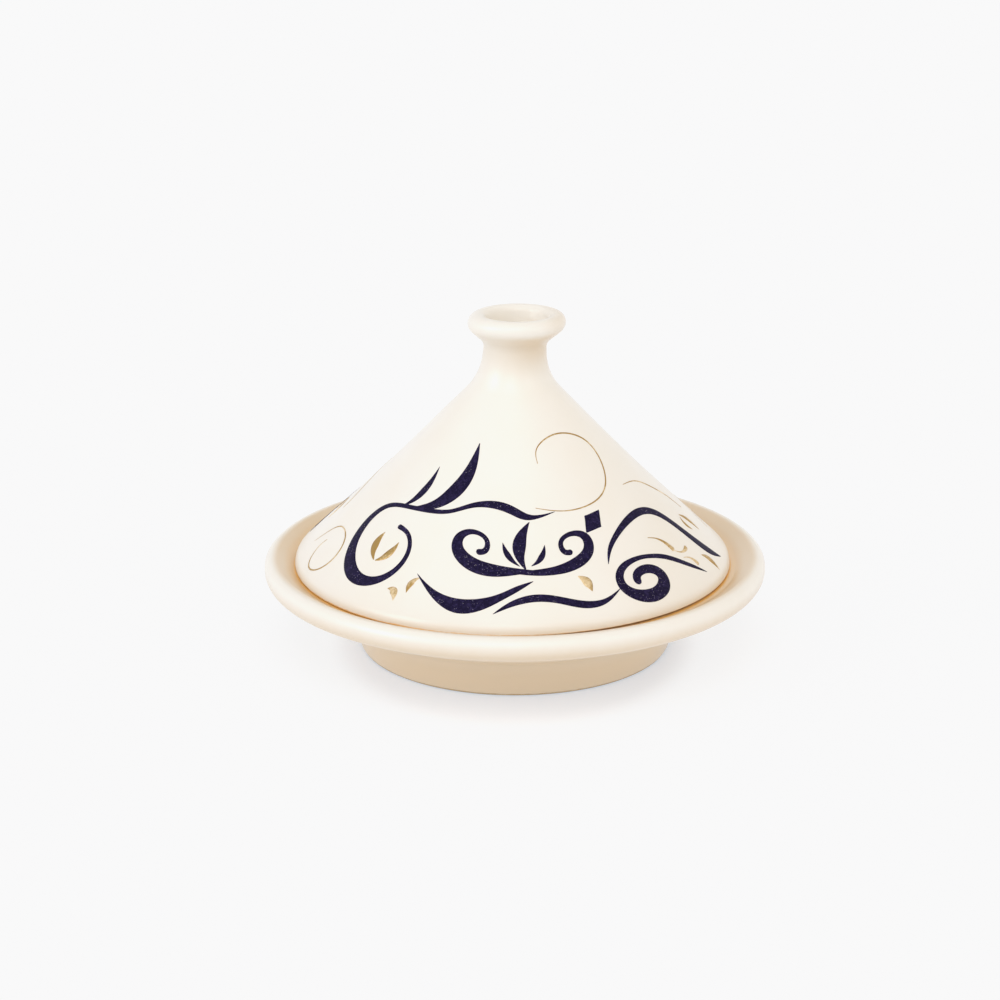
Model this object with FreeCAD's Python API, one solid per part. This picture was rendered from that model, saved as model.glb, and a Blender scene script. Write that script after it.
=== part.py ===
"""Tagine pot: a footed serving dish and the conical lid that stands on a ledge inside its rim.

Millimetres, +Z up. The origin is the centre of the foot, on the surface that the pot stands on.
Both pieces are turned about Z, so each is one outline of radius and height, revolved.
"""

import FreeCAD
import Part

import math
import os

# Driving sizes
RIM_RADIUS = 140.0  # outermost point of the dish's rolled rim
RIM_TOP = 52.4  # height of the rim's crest
RIM_CREST_RADIUS = 133.0  # the rim's crest ends here and slopes down to the ledge
RIM_ROLL = 5.5  # radius of the rolled edge, over its widest point
RIM_UNDER_ROLL = 7.2  # and under it
FOOT_RADIUS = 87.0  # outside of the foot ring, where it stands
FOOT_RING_WIDTH = 8.0
FOOT_RECESS = 5.0  # hollow under the floor, inside the foot ring
FLOOR_THICKNESS = 7.0
WELL_RADIUS = 82.0  # radius of the well's floor, before its corner is rounded
LEDGE_HEIGHT = 46.8  # the ledge that carries the lid
LEDGE_INNER = 106.5
LEDGE_OUTER = 123.8
LID_RADIUS = 121.5
LID_SEAT_WIDTH = 8.5  # wall at the lid's lower edge
LID_GAP = 0.1  # the lid's edge stands this much clear of the ledge
CONE_WALL = 6.8
CONE_MID_RADIUS = 70.0  # the cone's sides sink in very slightly about this radius
CONE_MID_HEIGHT = 100.6
SHOULDER_HEIGHT = 51.5  # where the cone's line meets the lid's outer edge
NECK_RADIUS = 18.3
NECK_HEIGHT = 154.7  # where the cone's line meets the neck
NECK_TOP_RADIUS = 16.9  # the neck narrows to this under the knob
KNOB_BASE = 172.9  # where the neck meets the knob's underside
KNOB_FLARE = 181.4  # where the knob's underside meets its side
KNOB_RADIUS = 26.65
KNOB_TOP = 189.0
KNOB_ROLL = 5.2
CUP_MOUTH_RADIUS = 17.5  # the open cup in the top of the knob
CUP_FLOOR_RADIUS = 12.5
CUP_FLOOR = 166.0
CAVITY_TOP = 150.5  # the lid's hollow ends this high, under the cup
SHOULDER_ROUND = 7.0  # rounding of the lid's outer shoulder, over its lower edge
EDGE_ROUND = 1.0  # rounding of the lid's lower edge


def corner(before, here, after, radius):
    """Start, middle and end of the arc that rounds the corner `here` between two straight runs."""
    to_before = (before - here).normalize()
    to_after = (after - here).normalize()
    half = to_before.getAngle(to_after) / 2
    reach = radius / math.tan(half)
    towards_centre = (to_before + to_after).normalize()
    centre = here + towards_centre * (radius / math.sin(half))
    return here + to_before * reach, centre - towards_centre * radius, here + to_after * reach


def turned(outline):
    """Solid of revolution about Z from corners of (radius, height, rounding); rounding 0 is a sharp corner."""
    points = [FreeCAD.Vector(r, 0, z) for r, z, _ in outline]
    edges = []
    last = points[0]
    for i, (_, _, rounding) in enumerate(outline[1:-1], start=1):
        if rounding:
            start, middle, end = corner(points[i - 1], points[i], points[i + 1], rounding)
            if (start - last).Length > 1e-6:
                edges.append(Part.LineSegment(last, start).toShape())
            edges.append(Part.Arc(start, middle, end).toShape())
            last = end
        else:
            edges.append(Part.LineSegment(last, points[i]).toShape())
            last = points[i]
    edges.append(Part.LineSegment(last, points[-1]).toShape())
    edges.append(Part.LineSegment(points[-1], points[0]).toShape())
    face = Part.Face(Part.Wire(edges))
    return face.revolve(FreeCAD.Vector(0, 0, 0), FreeCAD.Vector(0, 0, 1), 360)


def dish():
    """Foot ring, flared wall, rolled rim, the ledge inside it and the well that holds the food."""
    foot_inner = FOOT_RADIUS - FOOT_RING_WIDTH
    floor_top = FOOT_RECESS + FLOOR_THICKNESS
    wall_lean = 1.3  # the foot's side leans out by this much on its way up
    flare_start = 19.0  # where the foot's side meets the flared underside
    flare_end = 41.0  # where the underside's line meets the rim's outer edge
    return turned([
        (0, FOOT_RECESS, 0),
        (foot_inner - 1, FOOT_RECESS, 3.0),
        (foot_inner, 0, 1.5),
        (FOOT_RADIUS, 0, 1.5),
        (FOOT_RADIUS + wall_lean, flare_start, 14.0),
        (RIM_RADIUS, flare_end, RIM_UNDER_ROLL),
        (RIM_RADIUS, RIM_TOP, RIM_ROLL),
        (RIM_CREST_RADIUS, RIM_TOP, 4.0),
        (LEDGE_OUTER, LEDGE_HEIGHT, 3.0),
        (LEDGE_INNER, LEDGE_HEIGHT, 2.5),
        (WELL_RADIUS, floor_top, 22.0),
        (0, floor_top, 0),
    ])


def lid():
    """Hollow cone with a soft shoulder, a short neck and a rolled knob that is open as a cup on top."""
    underside = LEDGE_HEIGHT + LID_GAP
    seat_inner = LID_RADIUS - LID_SEAT_WIDTH
    lower_slope = (CONE_MID_HEIGHT - SHOULDER_HEIGHT) / (LID_RADIUS - CONE_MID_RADIUS)
    upper_slope = (NECK_HEIGHT - CONE_MID_HEIGHT) / (CONE_MID_RADIUS - NECK_RADIUS)
    drop = CONE_WALL * math.hypot(1, lower_slope)  # the wall, measured straight down
    inner_mid = CONE_MID_HEIGHT - drop
    inner_shoulder = inner_mid - lower_slope * (seat_inner - CONE_MID_RADIUS)
    cavity_top_radius = CONE_MID_RADIUS - (CAVITY_TOP - inner_mid) / upper_slope
    sink = 1200.0  # radius of the cone's slight inward curve
    return turned([
        (0, CAVITY_TOP, 0),
        (cavity_top_radius, CAVITY_TOP, 9.0),
        (CONE_MID_RADIUS, inner_mid, sink),
        (seat_inner, inner_shoulder, 3.5),
        (seat_inner, underside, EDGE_ROUND),
        (LID_RADIUS, underside, EDGE_ROUND),
        (LID_RADIUS, SHOULDER_HEIGHT, SHOULDER_ROUND),
        (CONE_MID_RADIUS, CONE_MID_HEIGHT, sink),
        (NECK_RADIUS, NECK_HEIGHT, 32.0),
        (NECK_TOP_RADIUS, KNOB_BASE, 6.0),
        (KNOB_RADIUS, KNOB_FLARE, KNOB_ROLL),
        (KNOB_RADIUS, KNOB_TOP, KNOB_ROLL),
        (CUP_MOUTH_RADIUS, KNOB_TOP, 4.3),
        (CUP_FLOOR_RADIUS, CUP_FLOOR, 6.0),
        (0, CUP_FLOOR, 0),
    ])


def main():
    os.makedirs("parts", exist_ok=True)
    for name, shape in {"base_dish": dish(), "conical_lid": lid()}.items():
        shape.exportStep(f"parts/{name}.step")
        box = shape.optimalBoundingBox(False)
        print(f"{name}: valid {shape.isValid()}, {shape.Volume / 1000:.0f} cm3,"
              f" radius {box.XMax:.2f}, height {box.ZMin:.2f} to {box.ZMax:.2f} mm")


main()
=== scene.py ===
"""Tagine pot for Blender: a cream-glazed dish and conical lid, painted with navy and gold scrollwork.

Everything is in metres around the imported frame, +Z up, and the painted front faces -Y.
Azimuth 0 is that front, and azimuth grows towards +X.
"""

import math

import bmesh
import bpy
import numpy as np
from bpy.props import FloatProperty, FloatVectorProperty, IntProperty, PointerProperty
from mathutils import Euler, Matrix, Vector


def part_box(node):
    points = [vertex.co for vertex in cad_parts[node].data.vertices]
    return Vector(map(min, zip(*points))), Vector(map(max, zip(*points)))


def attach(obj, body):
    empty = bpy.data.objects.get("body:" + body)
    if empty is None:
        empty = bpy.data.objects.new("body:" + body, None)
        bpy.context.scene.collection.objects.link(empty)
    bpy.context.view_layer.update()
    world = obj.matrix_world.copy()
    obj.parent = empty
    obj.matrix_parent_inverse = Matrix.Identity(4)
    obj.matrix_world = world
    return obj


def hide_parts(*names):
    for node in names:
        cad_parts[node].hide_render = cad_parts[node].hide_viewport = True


bl_info = {
    "name": "Tagine Pot",
    "version": (1, 0, 0),
    "blender": (4, 5, 0),
    "location": "View3D > Sidebar > Tagine",
    "description": "Turns, glazes and paints a tagine pot around its packed frame",
    "category": "Add Mesh",
}

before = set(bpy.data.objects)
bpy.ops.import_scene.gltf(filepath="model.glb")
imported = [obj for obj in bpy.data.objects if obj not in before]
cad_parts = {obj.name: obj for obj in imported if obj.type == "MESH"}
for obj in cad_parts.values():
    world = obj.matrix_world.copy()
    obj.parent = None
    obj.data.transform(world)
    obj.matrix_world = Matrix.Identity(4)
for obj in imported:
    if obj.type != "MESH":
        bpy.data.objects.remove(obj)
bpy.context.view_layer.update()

MM = 0.001
LID_LOW, LID_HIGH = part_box("conical_lid")
DISH_LOW, DISH_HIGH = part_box("base_dish")
HALF_TURN = math.pi


# ---------------------------------------------------------------- settings


class TurningSettings(bpy.types.PropertyGroup):
    """How the two pieces are turned from their CAD outlines."""

    around: IntProperty(
        name="Segments", description="Segments around the axis", default=288, min=32)
    step: FloatProperty(
        name="Step", description="Distance between rings along the outline",
        default=1.3 * MM, unit="LENGTH", precision=5)
    fine_step: FloatProperty(
        name="Fine Step", description="Distance between rings where glaze ends",
        default=0.3 * MM, unit="LENGTH", precision=5)
    ring_depth: FloatProperty(
        name="Throwing Rings", description="Depth of the finger rings left inside the pieces",
        default=0.10 * MM, unit="LENGTH", precision=5)
    ring_pitch: FloatProperty(
        name="Ring Pitch", description="Distance from one throwing ring to the next",
        default=5.2 * MM, unit="LENGTH", precision=5)
    oval: FloatProperty(
        name="Oval", description="How far the radius strays from round",
        default=0.25 * MM, unit="LENGTH", precision=5)
    seat: FloatProperty(
        name="Seat", description="How far left of the axis the lid sits on its ledge",
        default=1.4 * MM, unit="LENGTH", precision=5)
    lean: FloatProperty(
        name="Lean", description="How far the knob leans back to the right of the seat",
        default=2.8 * MM, unit="LENGTH", precision=5)
    warp: FloatProperty(
        name="Warp", description="How far the lid's edge rises at two opposite places",
        default=0.9 * MM, unit="LENGTH", precision=5)
    warp_azimuth: FloatProperty(
        name="Warp Azimuth", description="Where the lid's edge rises the most",
        default=math.radians(36), subtype="ANGLE")
    glaze_edge: FloatProperty(
        name="Glaze Thickness", description="Step from the glaze down to the bare clay of the foot",
        default=0.22 * MM, unit="LENGTH", precision=5)
    bare_foot: FloatProperty(
        name="Bare Foot", description="How high up the foot ring the clay is left bare",
        default=0.9 * MM, unit="LENGTH", precision=5)


class GlazeSettings(bpy.types.PropertyGroup):
    """Colours and finish of the cream glaze, of the shade painted into it and of the bare clay."""

    cream: FloatVectorProperty(
        name="Cream", description="Glaze where it lies evenly",
        default=(0.90, 0.85, 0.775), subtype="COLOR", min=0, max=1)
    cloud: FloatVectorProperty(
        name="Cloud", description="Glaze where it lies a little thicker",
        default=(0.89, 0.832, 0.742), subtype="COLOR", min=0, max=1)
    # Painted shade: this colour stands for the warm shade under the dish's rim, in the gutter round the lid
    # and on the right of the lid's cone, neck and knob, as well as for glaze that pooled there.
    pooled_and_shade: FloatVectorProperty(
        name="Pooled", description="Glaze where it ran together under edges and in hollows",
        default=(0.76, 0.595, 0.41), subtype="COLOR", min=0, max=1)
    # Painted shade: an amber tint along the lid's lower edge and on the ledge under it, standing for the
    # warm shade in the crevice between lid and dish.
    crevice_shade: FloatVectorProperty(
        name="Toasted", description="Glaze burnt amber on the lid's edge and on its ledge",
        default=(0.84, 0.48, 0.13), subtype="COLOR", min=0, max=1)
    clay: FloatVectorProperty(
        name="Clay", description="Bare fired clay where no glaze was left",
        default=(0.52, 0.35, 0.19), subtype="COLOR", min=0, max=1)
    speck: FloatVectorProperty(
        name="Speck", description="Faint iron specks in the glaze",
        default=(0.50, 0.38, 0.24), subtype="COLOR", min=0, max=1)
    roughness: FloatProperty(
        name="Roughness", description="Roughness of the satin glaze",
        default=0.42, min=0, max=1)
    coat: FloatProperty(
        name="Gloss", description="Weight of the glossy top of the glaze",
        default=0.65, min=0, max=1)
    coat_roughness: FloatProperty(
        name="Gloss Roughness", description="Roughness of the glossy top of the glaze",
        default=0.25, min=0, max=1)


class PaintSettings(bpy.types.PropertyGroup):
    """The fired-on navy enamel and gold lustre."""

    navy: FloatVectorProperty(
        name="Navy", description="Enamel where the brush left it thick",
        default=(0.006, 0.003, 0.024), subtype="COLOR", min=0, max=1)
    navy_thin: FloatVectorProperty(
        name="Thin Navy", description="Enamel where the brush left it thin",
        default=(0.034, 0.024, 0.088), subtype="COLOR", min=0, max=1)
    pinhole: FloatVectorProperty(
        name="Pinhole", description="Glaze that shows through tiny pinholes in the enamel",
        default=(0.55, 0.50, 0.58), subtype="COLOR", min=0, max=1)
    gold: FloatVectorProperty(
        name="Gold", description="Lustre at full strength",
        default=(0.50, 0.31, 0.10), subtype="COLOR", min=0, max=1)
    pale_gold: FloatVectorProperty(
        name="Pale Gold", description="Lustre where it was brushed on thinly",
        default=(0.86, 0.67, 0.41), subtype="COLOR", min=0, max=1)
    thickness: FloatProperty(
        name="Thickness", description="How far the enamel stands up at the edge of a stroke",
        default=0.05 * MM, unit="LENGTH", precision=5)
    crown: FloatProperty(
        name="Crown", description="How much further it stands up in the middle of a stroke",
        default=0.07 * MM, unit="LENGTH", precision=5)
    root: FloatProperty(
        name="Root", description="How far a stroke reaches into the glaze under it",
        default=0.12 * MM, unit="LENGTH", precision=5)
    navy_brush: FloatProperty(
        name="Navy Brush", description="Width of the navy strokes, as a share of their drawn width",
        default=0.88, min=0.1)
    groups: IntProperty(
        name="Groups", description="How often the painted group repeats around the lid",
        default=2, min=1, max=2)


class StudioSettings(bpy.types.PropertyGroup):
    """Floor, lights and camera."""

    floor: FloatVectorProperty(
        name="Floor", description="Colour of the floor, which also glows by itself",
        default=(0.25, 0.22, 0.20), subtype="COLOR", min=0, max=1)
    floor_glow: FloatVectorProperty(
        name="Floor Glow", description="Light that the floor gives off by itself",
        default=(0.720, 0.755, 0.784), subtype="COLOR", min=0, max=1)
    mat: FloatVectorProperty(
        name="Mat", description="Colour of the floor close to the foot, where it glows less",
        default=(0.84, 0.72, 0.62), subtype="COLOR", min=0, max=1)
    mat_glow: FloatVectorProperty(
        name="Mat Glow", description="Light that the floor gives off close to the foot",
        default=(0.181, 0.317, 0.440), subtype="COLOR", min=0, max=1)
    lamps: FloatProperty(name="Lamps", description="Strength of the studio's lamps", default=1.0, min=0)
    horizon: FloatVectorProperty(
        name="Horizon", description="Brightness of the studio walls",
        default=(0.945, 0.945, 0.945), subtype="COLOR", min=0)
    left_ceiling: FloatVectorProperty(
        name="Left Ceiling", description="Brightness of the studio ceiling on the cool side",
        default=(0.655, 0.675, 0.71), subtype="COLOR", min=0)
    right_ceiling: FloatVectorProperty(
        name="Right Ceiling", description="Brightness of the studio ceiling on the warm side",
        default=(0.70, 0.655, 0.585), subtype="COLOR", min=0)
    distance: FloatProperty(
        name="Distance", description="From the camera to the pot's axis", default=1.4, unit="LENGTH")
    elevation: FloatProperty(
        name="Elevation", description="How far the camera looks down",
        default=math.radians(17.76), subtype="ANGLE")
    aim: FloatProperty(
        name="Aim", description="How high up the pot's axis the camera is aimed",
        default=0.476 * LID_HIGH.z, unit="LENGTH", precision=5)
    lens: FloatProperty(
        name="Lens", description="Focal length in millimetres", default=90.6)
    shift: FloatVectorProperty(
        name="Shift", description="How far the lens is shifted sideways and up, in widths of the picture",
        default=(-0.0149, -0.0139), size=2, precision=4)


# ---------------------------------------------------------------- turning


def half_section(node):
    """Outline of a CAD node's section on one side of the axis: rows of radius and height, in order."""
    cut = bmesh.new()
    cut.from_mesh(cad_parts[node].data)
    bmesh.ops.remove_doubles(cut, verts=cut.verts, dist=0.001 * MM)
    for normal, halve in ((1, 0, 0), True), ((0, 1, 0), False):
        everything = cut.verts[:] + cut.edges[:] + cut.faces[:]
        found = bmesh.ops.bisect_plane(
            cut, geom=everything, dist=0.001 * MM,
            plane_co=(0, 0, 0), plane_no=normal, clear_inner=halve)
    edges = [e for e in found["geom_cut"] if isinstance(e, bmesh.types.BMEdge)]
    beside = {}
    for edge in edges:
        for vertex in edge.verts:
            beside.setdefault(vertex, []).append(edge.other_vert(vertex))
    ends = [v for v, others in beside.items() if len(others) == 1]
    here, last = min(ends, key=lambda v: v.co.z), None
    outline = []
    while here is not None:
        outline.append((here.co.x, here.co.z))
        onward = [v for v in beside[here] if v is not last]
        here, last = (onward[0] if onward else None), here
    cut.free()
    return np.array(outline)


def smooth_outline(corners, step_at):
    """Close points on a smooth curve through the corners that leaves long straight runs straight."""
    chords = np.diff(corners, axis=0)
    lengths = np.linalg.norm(chords, axis=1)
    across = np.vstack([chords[:1], corners[2:] - corners[:-2], chords[-1:]])
    heading = across / np.linalg.norm(across, axis=1)[:, None]
    points = []
    for i, length in enumerate(lengths):
        parts = max(1, math.ceil(length / step_at(*corners[i : i + 2].mean(axis=0))))
        t = np.arange(parts)[:, None] / parts
        points.append(
            (2 * t**3 - 3 * t**2 + 1) * corners[i] + (3 * t**2 - 2 * t**3) * corners[i + 1]
            + (t**3 - 2 * t**2 + t) * heading[i] * length + (t**3 - t**2) * heading[i + 1] * length)
    points.append(corners[-1:])
    return np.vstack(points)


def rise(value, low, high):
    """0 below low, 1 above high, and a smooth climb between them."""
    t = np.clip((value - low) / (high - low), 0, 1)
    return t * t * (3 - 2 * t)


LATE_LEAN = 4.5  # the lid's lean grows with this power of the way up it
RING_FADE = 6 * MM, 16 * MM  # the throwing rings die out between these distances from the axis


class Turned:
    """A turned piece's skin, read from its CAD node: a point for each way along the outline and azimuth."""

    def __init__(self, node, bare_below, bare_depth, rings_at, leans=False):
        turning = bpy.context.scene.tagine_turning
        self.turning = turning
        self.leans = leans

        def step_at(_, height):
            return turning.fine_step if height < bare_below + 2 * MM else turning.step

        outline = smooth_outline(half_section(node), step_at)
        self.radius, self.height = outline.T
        self.along = np.concatenate([[0], np.cumsum(np.linalg.norm(np.diff(outline, axis=0), axis=1))])
        runs = np.gradient(outline, self.along, axis=0)
        runs /= np.linalg.norm(runs, axis=1)[:, None]
        self.out_radius, self.out_height = runs[:, 1], -runs[:, 0]
        self.widest = self.along[np.argmax(self.radius)]
        inside = rings_at(self.along, self.height)
        self.ring = turning.ring_depth * inside * rise(self.radius, *RING_FADE)
        self.bare = bare_depth * (1 - rise(self.height, bare_below, bare_below + 0.5 * MM))
        self.bottom = self.height.min()
        self.top = self.height.max()

    def radius_at(self, along):
        return np.interp(along, self.along, self.radius)

    def skin(self, along, azimuth, lift=0.0):
        """Points of the skin, lifted off it by lift."""
        radius, height, out_radius, out_height, ring, bare = (
            np.interp(along, self.along, row)
            for row in (self.radius, self.height, self.out_radius, self.out_height, self.ring, self.bare))
        turn = along / self.turning.ring_pitch * 2 * math.pi + azimuth
        out = lift + ring * np.sin(turn)
        off_bottom = rise(height, self.bottom + 4 * MM, self.bottom + 40 * MM)
        oval = self.turning.oval * off_bottom * rise(radius, 0, 15 * MM)
        long_axis = 0.35 + 4.5 * height
        radius = radius + out_radius * (out - bare) + oval * np.cos(2 * (azimuth + long_axis))
        height = height + out_height * out
        aside = 0.0
        if self.leans:
            way_up = np.clip((height - self.bottom) / (self.top - self.bottom), 0, 1)
            aside = self.turning.lean * way_up**LATE_LEAN - self.turning.seat
            low = 1 - rise(height, self.bottom + 2 * MM, self.bottom + 30 * MM)
            warp = self.turning.warp * np.cos(azimuth - self.turning.warp_azimuth) ** 4
            height = height + warp * low
        return np.stack(
            [radius * np.sin(azimuth) + aside, -radius * np.cos(azimuth), height], axis=-1)

    def mesh(self, name):
        """The whole skin as one closed mesh, with a single point where it meets the axis."""
        around = self.turning.around
        azimuth = np.arange(around) * 2 * math.pi / around
        along = self.along[1:-1]
        rings = self.skin(along[:, None], azimuth[None, :]).reshape(-1, 3)
        poles = self.skin(self.along[[0, -1]], np.zeros(2))
        first, last = len(rings), len(rings) + 1
        here = np.arange(around)
        onward = (here + 1) % around
        faces = []
        for ring in range(len(along) - 1):
            low, high = ring * around, (ring + 1) * around
            faces += np.stack([low + here, low + onward, high + onward, high + here], axis=1).tolist()
        faces += [(first, b, a) for a, b in zip(here.tolist(), onward.tolist())]
        low = (len(along) - 1) * around
        faces += [(last, low + a, low + b) for a, b in zip(here.tolist(), onward.tolist())]
        mesh = bpy.data.meshes.new(name)
        mesh.from_pydata(np.vstack([rings, poles]).tolist(), [], faces)
        mesh.shade_smooth()
        return mesh


def turned_dish():
    """The dish: rings in its well, past the rim's crest, and a bare foot."""

    def well(along, height):
        crest = along[np.argmax(height)]
        return rise(along, crest + 18 * MM, crest + 34 * MM)

    turning = bpy.context.scene.tagine_turning
    return Turned("base_dish", DISH_LOW.z + turning.bare_foot, turning.glaze_edge, well)


def turned_lid():
    """The lid: rings in its hollow, before its lower edge, and a lean towards the knob."""

    def hollow(along, height):
        seat = along[np.argmin(height)]
        return 1 - rise(along, seat - 22 * MM, seat - 10 * MM)

    return Turned("conical_lid", LID_LOW.z + 0.6 * MM, 0.0, hollow, leans=True)


def add_piece(name, mesh, body, slot, material, *replaced):
    """Puts a finished mesh in the scene as a piece that rides on a body."""
    mesh.materials.append(material)
    piece = bpy.data.objects.new(name, mesh)
    bpy.context.scene.collection.objects.link(piece)
    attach(piece, body)
    if replaced:
        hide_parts(*replaced)


# ---------------------------------------------------------------- brushwork
#
# A stroke is a list of knots (x, y, width) in millimetres on a flat sheet, x to the right and y up,
# drawn about an anchor (azimuth in degrees, height up the lid's side in millimetres).

STROKE_STEP = 0.4  # distance between rows along a stroke, in millimetres

# So that strokes which cross don't share a surface, each climbs a little on its way, and lies a little
# over the one before.
STROKE_CLIMB = 0.03 * MM
STROKE_OVERLAP = 0.004 * MM


def volute(centre, radii, angles, widths, ease=1.0, flat=1.0):
    """Knots of a spiral; radii, angles and widths run from its start to its end.

    An ease above 1 curls it late, and flat is its height as a share of its width.
    """
    knots = []
    count = max(4, math.ceil(abs(angles[1] - angles[0]) / 36))
    for i in range(count + 1):
        t = i / count
        radius = radii[0] + (radii[1] - radii[0]) * t**ease
        angle = math.radians(angles[0] + (angles[1] - angles[0]) * t)
        width = float(np.interp(t, np.linspace(0, 1, len(widths)), widths))
        x = centre[0] + radius * math.cos(angle)
        y = centre[1] + radius * math.sin(angle) * flat
        knots.append((x, y, width))
    return knots


def leaf(base, bend, tip, width):
    """Knots of a pointed leaf from its base, past the point that it bends towards, to its tip."""
    knots = []
    for t, share in (0.0, 0.10), (0.25, 0.62), (0.5, 1.0), (0.75, 0.72), (1.0, 0.03):
        x, y = ((1 - t) ** 2 * a + 2 * t * (1 - t) * b + t * t * c for a, b, c in zip(base, bend, tip))
        knots.append((x, y, width * share))
    return knots


def comma(start, bend, end, width):
    """Knots of a comma: a hair's width at its start and full and round at its end."""
    knots = []
    for t, share in (0.0, 0.10), (0.35, 0.22), (0.7, 0.6), (1.0, 1.0):
        x, y = ((1 - t) ** 2 * a + 2 * t * (1 - t) * b + t * t * c for a, b, c in zip(start, bend, end))
        knots.append((x, y, width * share))
    return knots


def lozenge(centre, length, width, tilt):
    """Knots of a four-cornered dot."""
    knots = []
    for t in -1.0, -0.5, -0.1, 0.0, 0.1, 0.5, 1.0:
        reach = t * length / 2
        knots.append((
            centre[0] + reach * math.cos(math.radians(tilt)),
            centre[1] + reach * math.sin(math.radians(tilt)),
            width * (1.03 - abs(t))))
    return knots


# Anchors
GREAT_SCROLL = (-40, 40)
MIDDLE = (6, 50)
RIGHT_SCROLL = (40, 24)
ARCH = (55, 38)
WAVES = (0, 22)
GOLD_LOOP = (30, 95)
LEFT_LOOP = (-68, 24)
RIGHT_TENDRIL = (70, 58)

NAVY_GROUP = [
    (GREAT_SCROLL, [
        (74, 30, 0.3), (62, 27.5, 3.4), (52, 31, 4.4), (40, 35, 5.0),
        (28, 34, 3.8), (18, 29, 3.0), (6, 27, 3.2)]
        + volute((-11, 0), (26, 14), (85, 440), (3.0, 3.4, 6.5, 10.5, 8.0, 4.6, 3.2, 2.6, 3.4), 1.6)),
    (GREAT_SCROLL, leaf((-6, 26), (24, 32), (13, 71), 10.5)),
    (GREAT_SCROLL, leaf((-14, 25), (-2, 33), (-3, 53), 5.0)),
    (MIDDLE, [
        (4, -14, 0.3), (-8, -14, 4.5), (-20, -13.5, 8.4), (-31, -10.5, 9.6), (-38, -3.5, 8.4),
        (-37, 4.5, 5.4), (-29.5, 8.5, 3.4), (-22.5, 4.5, 3.0), (-23.5, -2, 3.6), (-28.5, -3, 4.2)]),
    (MIDDLE, [
        (-10, -15, 0.3), (0, -15, 3.6), (12, -14.5, 5.6), (24, -11.5, 7.6), (32, -5, 7.4), (31, 3, 5.2),
        (23.5, 6, 3.4), (17, 2, 3.0), (18.5, -4, 3.4), (23, -4.5, 4.0)]),
    (MIDDLE, leaf((-3, -13), (-10, 0), (1, 15), 8.0)),
    (MIDDLE, leaf((-6, -11), (-13, -6), (-14, 3), 3.6)),
    (MIDDLE, leaf((0, -11), (7, -8), (8, 1), 3.6)),
    (MIDDLE, lozenge((37, 11), 15, 14, 50)),
    (RIGHT_SCROLL, [(51, -14, 0.3), (43, -8, 2.4), (34, -1.5, 3.2), (23, 5.5, 3.4), (13, 9, 3.0)]
        + volute((2, -3), (19, 5), (80, 560), (3.0, 5.4, 9.2, 9.0, 6.6, 5.4, 5.6), 1.05, 0.7)),
    (ARCH, [
        (-41, -3, 0.3), (-34, 5, 2.2), (-24, 12, 3.2), (-12, 17.5, 4.4), (1, 20, 5.2), (12, 17.5, 5.0),
        (21, 10, 4.6), (29, -2, 5.0), (36, -14, 6.2), (42, -22, 5.6), (50, -29, 0.3)]),
    (WAVES, [
        (-52, 8, 0.3), (-43, -1, 4.6), (-31, -7, 9.4), (-18, -6, 8.0),
        (-6, -1, 4.6), (3, 4, 3.4), (11, 8, 0.3)]),
    (WAVES, [
        (-10, -11, 0.3), (0, -5, 3.6), (12, -2, 5.0), (25, -4, 4.6),
        (38, -8, 4.8), (50, -8, 3.6), (60, -2, 0.3)]),
]

GOLD_GROUP = [
    (GOLD_LOOP, [
        (-14, 4, 0.3), (-12, 12, 0.5), (-4, 18.5, 0.75), (7, 20, 0.85), (21, 13, 0.95), (27, 1, 1.0),
        (24, -13, 0.95), (14, -21.5, 0.8), (0, -25, 0.7), (-12, -25, 0.55), (-25, -22, 0.3)]),
    (LEFT_LOOP, [(-30, -6, 0.3)] + volute((-6, -3), (17, 10), (130, -210), (0.7, 1.0, 0.95, 0.8, 0.35))),
    (RIGHT_TENDRIL, [(-12, 17.5, 0.3), (2, 15, 0.7), (16, 4.5, 0.9), (27, -7, 0.8), (33, -17.5, 0.3)]),
    (GREAT_SCROLL, leaf((-12, -9), (-20, -2), (-15, 8), 5.0)),
    (GREAT_SCROLL, leaf((-11, -9), (-3, -5), (-2, 5), 4.4)),
    (GREAT_SCROLL, leaf((7, -22), (12, -20), (14, -28), 4.2)),
    (GREAT_SCROLL, leaf((22, -12), (17, -15), (19, -22), 3.4)),
    (WAVES, leaf((35, 9), (41, 6), (43, -1), 4.6)),
    (RIGHT_SCROLL, comma((19, 19), (29, 17), (34, 6), 3.4)),
    (RIGHT_SCROLL, comma((34, 6), (40, 1), (47, 4), 3.2)),
    (RIGHT_SCROLL, comma((38, 0), (45, -1), (48, -8), 3.0)),
    (RIGHT_SCROLL, leaf((57, -5), (65, -9), (66, -18), 3.4)),
    (ARCH, leaf((41, 4), (50, -1), (53, -11), 3.0)),
    (ARCH, leaf((40, 3), (37, -1), (43, -7), 2.4)),
]


def smooth_knots(knots, spacing):
    """Evenly spread rows of x, y and width on a curve through the knots with no jump in its bending."""
    knots = np.array(knots, float)
    pull = np.sqrt(np.linalg.norm(np.diff(knots[:, :2], axis=0), axis=1))
    count = len(knots)
    system, target = np.eye(count), np.zeros((count, 3))
    for i in range(1, count - 1):
        before, after = pull[i - 1], pull[i]
        system[i, i - 1 : i + 2] = before, 2 * (before + after), after
        target[i] = 6 * ((knots[i + 1] - knots[i]) / after - (knots[i] - knots[i - 1]) / before)
    bend = np.linalg.solve(system, target)
    rows = []
    for i in range(count - 1):
        span = pull[i]
        parts = max(2, math.ceil(np.linalg.norm(knots[i + 1, :2] - knots[i, :2]) / spacing))
        s = np.arange(parts)[:, None] * span / parts
        slope = (knots[i + 1] - knots[i]) / span - span * (2 * bend[i] + bend[i + 1]) / 6
        rows.append(knots[i] + slope * s + bend[i] * s**2 / 2 + (bend[i + 1] - bend[i]) * s**3 / (6 * span))
    rows = np.vstack([*rows, knots[-1:]])
    rows[:, 2] = np.maximum(rows[:, 2], knots[:, 2].min())
    return rows


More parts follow.
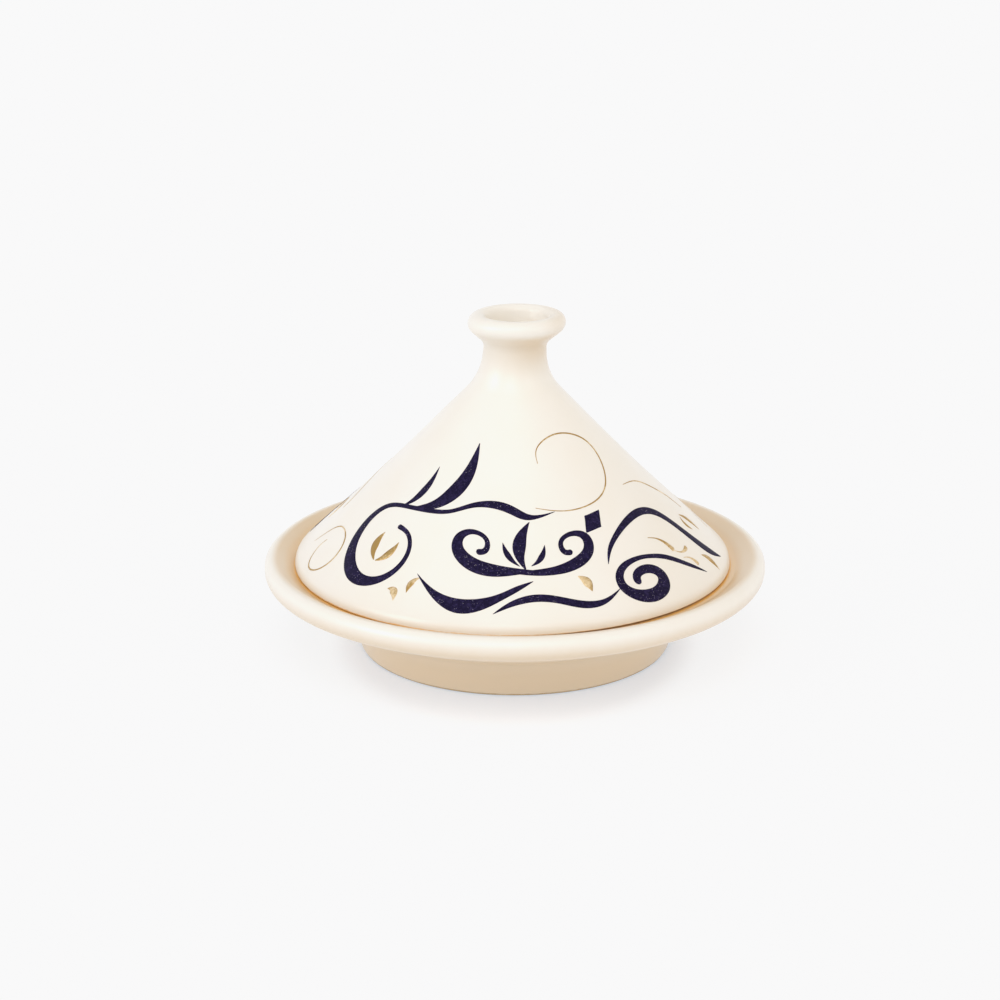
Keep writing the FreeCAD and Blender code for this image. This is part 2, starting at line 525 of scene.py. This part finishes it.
def rounded_ends(path):
    """Widths of a smooth path with its two ends rounded off like the end of a brush stroke."""
    travelled = np.concatenate([[0], np.cumsum(np.linalg.norm(np.diff(path[:, :2], axis=0), axis=1))])
    from_end = np.minimum(travelled, travelled[-1] - travelled)
    share = np.clip(from_end / (path[:, 2] / 2), 0, 1)
    return np.maximum(path[:, 2] * np.sqrt(1 - (1 - share) ** 2), 0.1)


def brushwork(name, group, brush=1.0, columns=8):
    """All strokes of a group, repeated around the lid, as closed thin bands that follow its skin."""
    paint = bpy.context.scene.tagine_paint
    lid = turned_lid()
    points, faces = [], []
    across = np.linspace(-1, 1, columns + 1)
    for order, (anchor, knots) in enumerate(group * paint.groups):
        turn = math.radians(anchor[0]) + HALF_TURN * (order // len(group))
        path = smooth_knots(knots, STROKE_STEP) * (1, 1, brush)
        x, y, width = (row[:, None] * MM for row in (path[:, 0], path[:, 1], rounded_ends(path)))
        run = np.gradient(path[:, :2], axis=0)
        run /= np.linalg.norm(run, axis=1)[:, None]
        side_x, side_y = -run[:, 1, None], run[:, 0, None]
        along = lid.widest + anchor[1] * MM + y + side_y * width / 2 * across
        azimuth = turn + (x + side_x * width / 2 * across) / lid.radius_at(along)
        crossing = np.linspace(0, STROKE_CLIMB, len(path))[:, None] + STROKE_OVERLAP * (order % len(group))
        fullness = np.minimum(1, width / (3 * MM))
        lift = paint.thickness + paint.crown * fullness * (1 - across**2) + crossing
        over = lid.skin(along, azimuth, lift)
        under = lid.skin(along, azimuth, -paint.root)[:, ::-1]
        loop = np.concatenate([over, under], axis=1)
        start, size = len(points), loop.shape[1]
        points += loop.reshape(-1, 3).tolist()
        for row in range(len(path) - 1):
            low, high = start + row * size, start + (row + 1) * size
            faces += [(low + i, high + i, high + (i + 1) % size, low + (i + 1) % size) for i in range(size)]
        faces.append([start + i for i in range(size)])
        end = start + (len(path) - 1) * size
        faces.append([end + i for i in reversed(range(size))])
    mesh = bpy.data.meshes.new(name)
    mesh.from_pydata(points, [], faces)
    mesh.shade_smooth()
    return mesh


# ---------------------------------------------------------------- shading


class Signal:
    """An output socket that takes part in sums: each operator adds one Math node."""

    def __init__(self, nodes, socket):
        self.nodes, self.socket = nodes, socket

    def __add__(self, other):
        return self.nodes.sum("ADD", self, other)

    def __sub__(self, other):
        return self.nodes.sum("SUBTRACT", self, other)

    def __rsub__(self, other):
        return self.nodes.sum("SUBTRACT", other, self)

    def __mul__(self, other):
        return self.nodes.sum("MULTIPLY", self, other)

    def __abs__(self):
        return self.nodes.sum("ABSOLUTE", self)

    __radd__ = __add__
    __rmul__ = __mul__


class Nodes:
    """A node tree being built."""

    def __init__(self, tree):
        self.tree = tree
        tree.nodes.clear()

    def add(self, kind, settings=None, inputs=None, output=0):
        """Adds a node, applies its settings, then fills its inputs with values or Signals."""
        node = self.tree.nodes.new(kind)
        for key, value in (settings or {}).items():
            setattr(node, key, value)
        for key, value in (inputs or {}).items():
            if isinstance(value, Signal):
                self.tree.links.new(value.socket, node.inputs[key])
            else:
                node.inputs[key].default_value = value
        return Signal(self, node.outputs[output]) if len(node.outputs) else None

    def sum(self, operation, *terms):
        return self.add("ShaderNodeMath", {"operation": operation}, dict(enumerate(terms)))

    def mix(self, share, plain, full):
        """A colour from plain, at share 0, to full, at share 1."""
        plain, full = (c if isinstance(c, Signal) else (*c, 1.0) for c in (plain, full))
        return self.add(
            "ShaderNodeMix", {"data_type": "RGBA"}, {0: share, 6: plain, 7: full}, output=2)

    def climb(self, value, low, high, start=0.0, end=1.0):
        """A smooth climb from start, below low, to end, above high."""
        return self.add(
            "ShaderNodeMapRange", {"interpolation_type": "SMOOTHSTEP"},
            {"Value": value, "From Min": low, "From Max": high, "To Min": start, "To Max": end})

    def from_axis(self, place, axis_x=0.0):
        """Distance from an upright axis that stands at axis_x, 0."""
        level = self.add("ShaderNodeVectorMath", {"operation": "MULTIPLY"}, {0: place, 1: (1, 1, 0)})
        ends = {0: level, 1: (axis_x, 0, 0)}
        return self.add("ShaderNodeVectorMath", {"operation": "DISTANCE"}, ends, output="Value")

    def noise(self, place, size, detail=2.0, distortion=0.0):
        """Cloudy values from 0 to 1 with features of about the given size."""
        return self.add("ShaderNodeTexNoise", inputs={
            "Vector": place, "Scale": 1 / size, "Detail": detail, "Distortion": distortion})

    def dots(self, place, spacing, radius, share):
        """1 inside round dots that fill the given share of cells of the given spacing."""
        cell = {"Vector": place, "Scale": 1 / spacing}
        distance = self.add("ShaderNodeTexVoronoi", inputs=cell, output="Distance")
        colour = self.add("ShaderNodeTexVoronoi", inputs=cell, output="Color")
        lottery = self.add("ShaderNodeSeparateColor", inputs={0: colour})
        reach = radius / spacing
        return self.climb(distance, 0.6 * reach, reach, 1.0, 0.0) * self.climb(
            lottery, share - 0.02, share, 1.0, 0.0)

    def bump(self, height, distance):
        return self.add("ShaderNodeBump", inputs={"Height": height, "Distance": distance}, output="Normal")

    def surface(self, inputs):
        """The Principled shader and the output that end a material."""
        shader = self.add("ShaderNodeBsdfPrincipled", inputs=inputs)
        self.add("ShaderNodeOutputMaterial", inputs={"Surface": shader})


def new_material(name):
    material = bpy.data.materials.new(name)
    material.use_nodes = True
    return material, Nodes(material.node_tree)


def dish_zones(nodes, place, height, radius):
    """How far the dish's glaze is pooled and painted in shade, how far amber crevice shade is painted on
    it, and how far its clay is bare.
    """
    turning = bpy.context.scene.tagine_turning
    # Painted shade under the rim, on top of glaze that pooled there.
    shade_under_rim = nodes.climb(height, DISH_HIGH.z - 12 * MM, DISH_HIGH.z - 2 * MM, 0.85, 0.0)
    # Painted shade on the gutter slope between the lid's edge and the rim's crest.
    gutter_shade = nodes.climb(radius, LID_HIGH.x + 10.5 * MM, LID_HIGH.x + 15.5 * MM, 0.95, 0.0)

    # Painted amber shade on the ledge: a thin ring right at the lid's edge and a fainter band around it,
    # where the crevice between lid and dish lies in shade.
    over_ledge = height - LID_LOW.z
    inside = nodes.climb(over_ledge, -4 * MM, -3 * MM)
    on_ledge = inside * nodes.climb(over_ledge, 0.4 * MM, 1.2 * MM, 0.65, 0.0)
    from_lid = abs(nodes.from_axis(place, -turning.seat) - LID_HIGH.x)
    ring = on_ledge * nodes.climb(from_lid, 0.4 * MM, 1.3 * MM, 1.0, 0.0)
    lid_edge_shade = inside * nodes.climb(from_lid, 1 * MM, 9 * MM, 0.3, 0.0)
    lid_edge_shade = lid_edge_shade * nodes.climb(over_ledge, 2 * MM, 5 * MM, 1.0, 0.0)

    bare_top = DISH_LOW.z + turning.bare_foot
    bare_foot = nodes.climb(height, bare_top, bare_top + 0.4 * MM, 1.0, 0.0)
    return shade_under_rim + gutter_shade, ring + lid_edge_shade, bare_foot


def lid_zones(nodes, place, height, radius):
    """How far shade is painted into the lid's glaze, how far amber crevice shade is painted on it, and how
    far its clay is bare.
    """
    across = nodes.add("ShaderNodeSeparateXYZ", inputs={0: place}, output="X")
    # Painted shade: the cone turns warmer towards its right, its shaded side.
    cone_shade = nodes.climb(across, 20 * MM, 115 * MM, 0.0, 0.10)
    # Painted shade on the neck below the knob and on the knob's right, heavier towards the right, the
    # shaded side. Together with the cone's, it makes the lid's painted shade.
    shade_to_right = nodes.climb(across, -16 * MM, 14 * MM, 0.2, 0.8)
    neck_shade = nodes.climb(height, LID_HIGH.z - 36 * MM, LID_HIGH.z - 14 * MM) * shade_to_right
    out_of_cup = nodes.climb(radius, 15.9 * MM, 16.5 * MM)
    below_knob = nodes.climb(height, LID_HIGH.z - 11 * MM, LID_HIGH.z - 6 * MM, 1.0, 0.0)
    knob = nodes.climb(across, 12 * MM, 26 * MM, 0.0, 0.35) * (1 - below_knob)
    pooled_and_shade = (cone_shade + neck_shade) * below_knob * out_of_cup + knob

    # Painted amber shade along the lid's lower edge, where it sits in the crevice on the ledge.
    crevice_shade = nodes.climb(height, LID_LOW.z + 0.6 * MM, LID_LOW.z + 1.5 * MM, 0.9, 0.0)
    bare = nodes.climb(height, LID_LOW.z + 0.1 * MM, LID_LOW.z + 0.4 * MM, 1.0, 0.0)
    return pooled_and_shade, crevice_shade, bare


def cream_glaze(name, zones):
    """Satin cream glaze with clouds, specks, ripples and painted shade; zones says where it pooled or lies
    in painted shade, where amber crevice shade is painted, and where it ended.
    """
    glaze = bpy.context.scene.tagine_glaze
    material, nodes = new_material(name)
    place = nodes.add("ShaderNodeTexCoord", output="Object")
    height = nodes.add("ShaderNodeSeparateXYZ", inputs={0: place}, output="Z")
    radius = nodes.from_axis(place)
    clouds = nodes.noise(place, 45 * MM, detail=3)
    ripple = nodes.noise(place, 9 * MM, detail=1)
    grain = nodes.noise(place, 0.6 * MM, detail=3)
    wander = (nodes.noise(place, 6 * MM) - 0.5) * (1.2 * MM)
    pooled_and_shade, crevice_shade, bare = zones(nodes, place, height + wander, radius)
    colour = nodes.mix(nodes.climb(clouds, 0.35, 0.75), glaze.cream, glaze.cloud)
    # Painted shade: the pooled colour where glaze pooled and where shade falls, then the amber crevice
    # shade by the lid's edge.
    colour = nodes.mix(pooled_and_shade * (0.85 + clouds * 0.3), colour, glaze.pooled_and_shade)
    colour = nodes.mix(crevice_shade, colour, glaze.crevice_shade)
    speck = nodes.dots(place, 6 * MM, 0.22 * MM, 0.14) * 0.35
    colour = nodes.mix(speck, colour, glaze.speck)
    clay = nodes.mix(grain, [c * 0.8 for c in glaze.clay], [min(1, c * 1.2) for c in glaze.clay])
    colour = nodes.mix(bare, colour, clay)
    gloss = glaze.roughness + (clouds - 0.5) * 0.10
    relief = ripple + grain * (bare * 0.6 + 0.02)
    nodes.surface({
        "Base Color": colour,
        "Roughness": gloss * (1 - bare) + bare * 0.85,
        "Coat Weight": (1 - bare) * glaze.coat,
        "Coat Roughness": glaze.coat_roughness,
        "Specular IOR Level": 0.3,
        "Normal": nodes.bump(relief, 0.06 * MM)})
    return material


def navy_enamel():
    """Dense navy enamel with a brushed streakiness and clusters of tiny pinholes."""
    paint = bpy.context.scene.tagine_paint
    material, nodes = new_material("navy enamel")
    place = nodes.add("ShaderNodeTexCoord", output="Object")
    patches = nodes.noise(place, 22 * MM, detail=2)
    streaks = nodes.noise(place, 2.5 * MM, detail=3, distortion=0.6)
    colour = nodes.mix(nodes.climb(streaks, 0.45, 0.8) * 0.7, paint.navy, paint.navy_thin)
    grain = nodes.noise(place, 0.7 * MM, detail=2)
    colour = nodes.mix(nodes.climb(grain, 0.52, 0.72) * 0.8, colour, paint.navy_thin)
    crowd = nodes.climb(patches, 0.42, 0.56)
    pinholes = nodes.dots(place, 0.85 * MM, 0.17 * MM, 0.5) * crowd
    colour = nodes.mix(pinholes * 0.85, colour, paint.pinhole)
    nodes.surface({
        "Base Color": colour,
        "Roughness": 0.45 + (streaks - 0.5) * 0.2,
        "Specular IOR Level": 0.10,
        "Normal": nodes.bump(streaks - pinholes * 0.5, 0.02 * MM)})
    return material


def gold_lustre():
    """Brushed gold lustre, from deep amber to pale where it was thin."""
    paint = bpy.context.scene.tagine_paint
    material, nodes = new_material("gold lustre")
    place = nodes.add("ShaderNodeTexCoord", output="Object")
    wash = nodes.noise(place, 14 * MM, detail=2)
    streaks = nodes.noise(place, 1.2 * MM, detail=3)
    thin = nodes.climb(wash + (streaks - 0.5) * 0.4, 0.45, 0.75)
    nodes.surface({
        "Base Color": nodes.mix(thin, paint.gold, paint.pale_gold),
        "Metallic": 0.85 - thin * 0.5,
        "Roughness": 0.30 + streaks * 0.2,
        "Normal": nodes.bump(streaks, 0.015 * MM)})
    return material


MAT_SIZE = (99 * MM, 128 * MM, 1.0)  # how far the floor's mat part reaches sideways and to the front


def pale_floor():
    """Pale matte floor that glows by itself, less so close to the foot."""
    studio = bpy.context.scene.tagine_studio
    material, nodes = new_material("pale floor")
    place = nodes.add("ShaderNodeTexCoord", output="Object")
    scaled = nodes.add("ShaderNodeVectorMath", {"operation": "DIVIDE"}, {0: place, 1: MAT_SIZE})
    reach = nodes.add("ShaderNodeVectorMath", {"operation": "LENGTH"}, {0: scaled}, output="Value")
    close = nodes.climb(reach, 0.88, 1.08, 1.0, 0.0)
    nodes.surface({
        "Base Color": nodes.mix(close, studio.floor, studio.mat),
        "Roughness": 1.0,
        "Specular IOR Level": 0.0,
        "Emission Color": nodes.mix(close, studio.floor_glow, studio.mat_glow),
        "Emission Strength": 1.0})
    return material


# ---------------------------------------------------------------- operators


class AddDish(bpy.types.Operator):
    """Turns and glazes the footed serving dish"""

    bl_idname = "tagine.add_dish"
    bl_label = "Dish"

    def execute(self, context):
        material = cream_glaze("cream glaze of the dish", dish_zones)
        mesh = turned_dish().mesh("serving_dish")
        add_piece("serving_dish", mesh, "dish", "dish_glaze", material, "base_dish")
        return {"FINISHED"}


class AddLid(bpy.types.Operator):
    """Turns and glazes the conical lid with its knob"""

    bl_idname = "tagine.add_lid"
    bl_label = "Lid"

    def execute(self, context):
        material = cream_glaze("cream glaze of the lid", lid_zones)
        mesh = turned_lid().mesh("cone_lid")
        add_piece("cone_lid", mesh, "lid", "lid_glaze", material, "conical_lid")
        return {"FINISHED"}


class AddNavyScrollwork(bpy.types.Operator):
    """Brushes the navy scrolls, leaves and waves onto the lid"""

    bl_idname = "tagine.add_navy_scrollwork"
    bl_label = "Navy Scrollwork"

    def execute(self, context):
        mesh = brushwork("navy_scrollwork", NAVY_GROUP, context.scene.tagine_paint.navy_brush)
        add_piece("navy_scrollwork", mesh, "lid", "navy_enamel", navy_enamel())
        return {"FINISHED"}


class AddGoldScrollwork(bpy.types.Operator):
    """Brushes the gold tendrils and small gold leaves onto the lid"""

    bl_idname = "tagine.add_gold_scrollwork"
    bl_label = "Gold Tendrils"

    def execute(self, context):
        mesh = brushwork("gold_tendrils", GOLD_GROUP, columns=4)
        add_piece("gold_tendrils", mesh, "lid", "gold_lustre", gold_lustre())
        return {"FINISHED"}


FLOOR_SIZE = 30.0  # half the floor's side

# Brightness as it comes and as it is shown, where the whites begin to roll off, part of the way, and at 1.
WHITES = [(0.90, 0.90), (0.94, 0.935), (1.0, 0.95)]

# A lamp's name, its azimuth, elevation and width in degrees as seen from the pot, its share of the
# studio's strength, whether it lights matte surfaces, and whether it shows as a gloss.
LAMPS = [
    ("key", 0, 59, 46, 0.74, True, False),
    ("left softbox", -68, 26, 34, 0.45, True, True),
    ("right softbox", 52, 28, 26, 0.17, True, True),
    ("left glint", -60, 28, 30, 0.30, False, True),
    ("front glint", -8, 37, 34, 0.30, False, True),
]


def soften_whites(view):
    """Keeps colours as they are up to the paper white and rolls off what is brighter."""
    view.view_transform = "Standard"
    view.use_curve_mapping = True
    mapping = view.curve_mapping
    all_channels = mapping.curves[3]
    for bend in WHITES[:-1]:
        all_channels.points.new(*bend)
    all_channels.points[-1].location = WHITES[-1]
    mapping.extend = "HORIZONTAL"
    mapping.update()


def add_floor():
    """A wide level floor under the pot."""
    board = bmesh.new()
    bmesh.ops.create_grid(board, x_segments=1, y_segments=1, size=FLOOR_SIZE)
    mesh = bpy.data.meshes.new("pale_floor")
    board.to_mesh(mesh)
    board.free()
    mesh.materials.append(pale_floor())
    floor = bpy.data.objects.new("pale_floor", mesh)
    bpy.context.scene.collection.objects.link(floor)


def add_lamps():
    """Soft lamps from far off, each from its own direction."""
    for name, azimuth, elevation, width, share, matte, gloss in LAMPS:
        light = bpy.data.lights.new(name, "SUN")
        light.energy = bpy.context.scene.tagine_studio.lamps * share
        light.angle = math.radians(width)
        lamp = bpy.data.objects.new(name, light)
        lamp.rotation_euler = Euler((math.radians(90 - elevation), 0, math.radians(azimuth)))
        lamp.visible_diffuse = matte
        lamp.visible_glossy = gloss
        bpy.context.scene.collection.objects.link(lamp)


def add_walls():
    """Bright walls all around, under a ceiling that is cool on the left and warm on the right."""
    studio = bpy.context.scene.tagine_studio
    world = bpy.data.worlds.new("studio")
    world.use_nodes = True
    nodes = Nodes(world.node_tree)
    way = nodes.add("ShaderNodeTexCoord", output="Generated")
    right, up = (nodes.add("ShaderNodeSeparateXYZ", inputs={0: way}, output=axis) for axis in "XZ")
    ceiling = nodes.mix(nodes.climb(right, -0.7, 0.7), studio.left_ceiling, studio.right_ceiling)
    sky = nodes.mix(nodes.climb(up, 0.12, 0.5), studio.horizon, ceiling)
    glow = nodes.add("ShaderNodeBackground", inputs={"Color": sky})
    nodes.add("ShaderNodeOutputWorld", inputs={"Surface": glow})
    bpy.context.scene.world = world


def add_camera():
    """The camera, in front of the pot and looking down on it."""
    studio = bpy.context.scene.tagine_studio
    camera = bpy.data.cameras.new("camera")
    camera.lens = studio.lens
    camera.sensor_width = 36.0
    camera.shift_x, camera.shift_y = studio.shift
    eye = bpy.data.objects.new("camera", camera)
    back = studio.distance * math.cos(studio.elevation)
    above_aim = studio.distance * math.sin(studio.elevation)
    eye.location = Vector((0, -back, studio.aim + above_aim))
    eye.rotation_euler = Euler((math.pi / 2 - studio.elevation, 0, 0))
    bpy.context.scene.collection.objects.link(eye)
    bpy.context.scene.camera = eye


class AddStudio(bpy.types.Operator):
    """Adds the pale floor, the soft light and the camera"""

    bl_idname = "tagine.add_studio"
    bl_label = "Studio"

    def execute(self, context):
        add_floor()
        add_lamps()
        add_walls()
        add_camera()
        soften_whites(context.scene.view_settings)
        return {"FINISHED"}


class TaginePanel(bpy.types.Panel):
    """Lists the pieces in the order that they are made"""

    bl_idname = "VIEW3D_PT_tagine"
    bl_label = "Tagine Pot"
    bl_space_type = "VIEW_3D"
    bl_region_type = "UI"
    bl_category = "Tagine"

    def draw(self, context):
        for operator in OPERATORS:
            self.layout.operator(operator.bl_idname)
        for name in SETTINGS:
            box = self.layout.box()
            group = getattr(context.scene, name)
            for field in group.bl_rna.properties:
                if field.identifier not in {"rna_type", "name"}:
                    box.prop(group, field.identifier)


OPERATORS = [AddDish, AddLid, AddNavyScrollwork, AddGoldScrollwork, AddStudio]
SETTINGS = {
    "tagine_turning": TurningSettings,
    "tagine_glaze": GlazeSettings,
    "tagine_paint": PaintSettings,
    "tagine_studio": StudioSettings,
}
CLASSES = [*SETTINGS.values(), *OPERATORS, TaginePanel]


def register():
    for cls in CLASSES:
        bpy.utils.register_class(cls)
    for name, group in SETTINGS.items():
        setattr(bpy.types.Scene, name, PointerProperty(type=group))


def unregister():
    for name in SETTINGS:
        delattr(bpy.types.Scene, name)
    for cls in reversed(CLASSES):
        bpy.utils.unregister_class(cls)


def main():
    register()
    bpy.ops.tagine.add_dish()
    bpy.ops.tagine.add_lid()
    bpy.ops.tagine.add_navy_scrollwork()
    bpy.ops.tagine.add_gold_scrollwork()
    bpy.ops.tagine.add_studio()


if __name__ == "__main__":
    main()
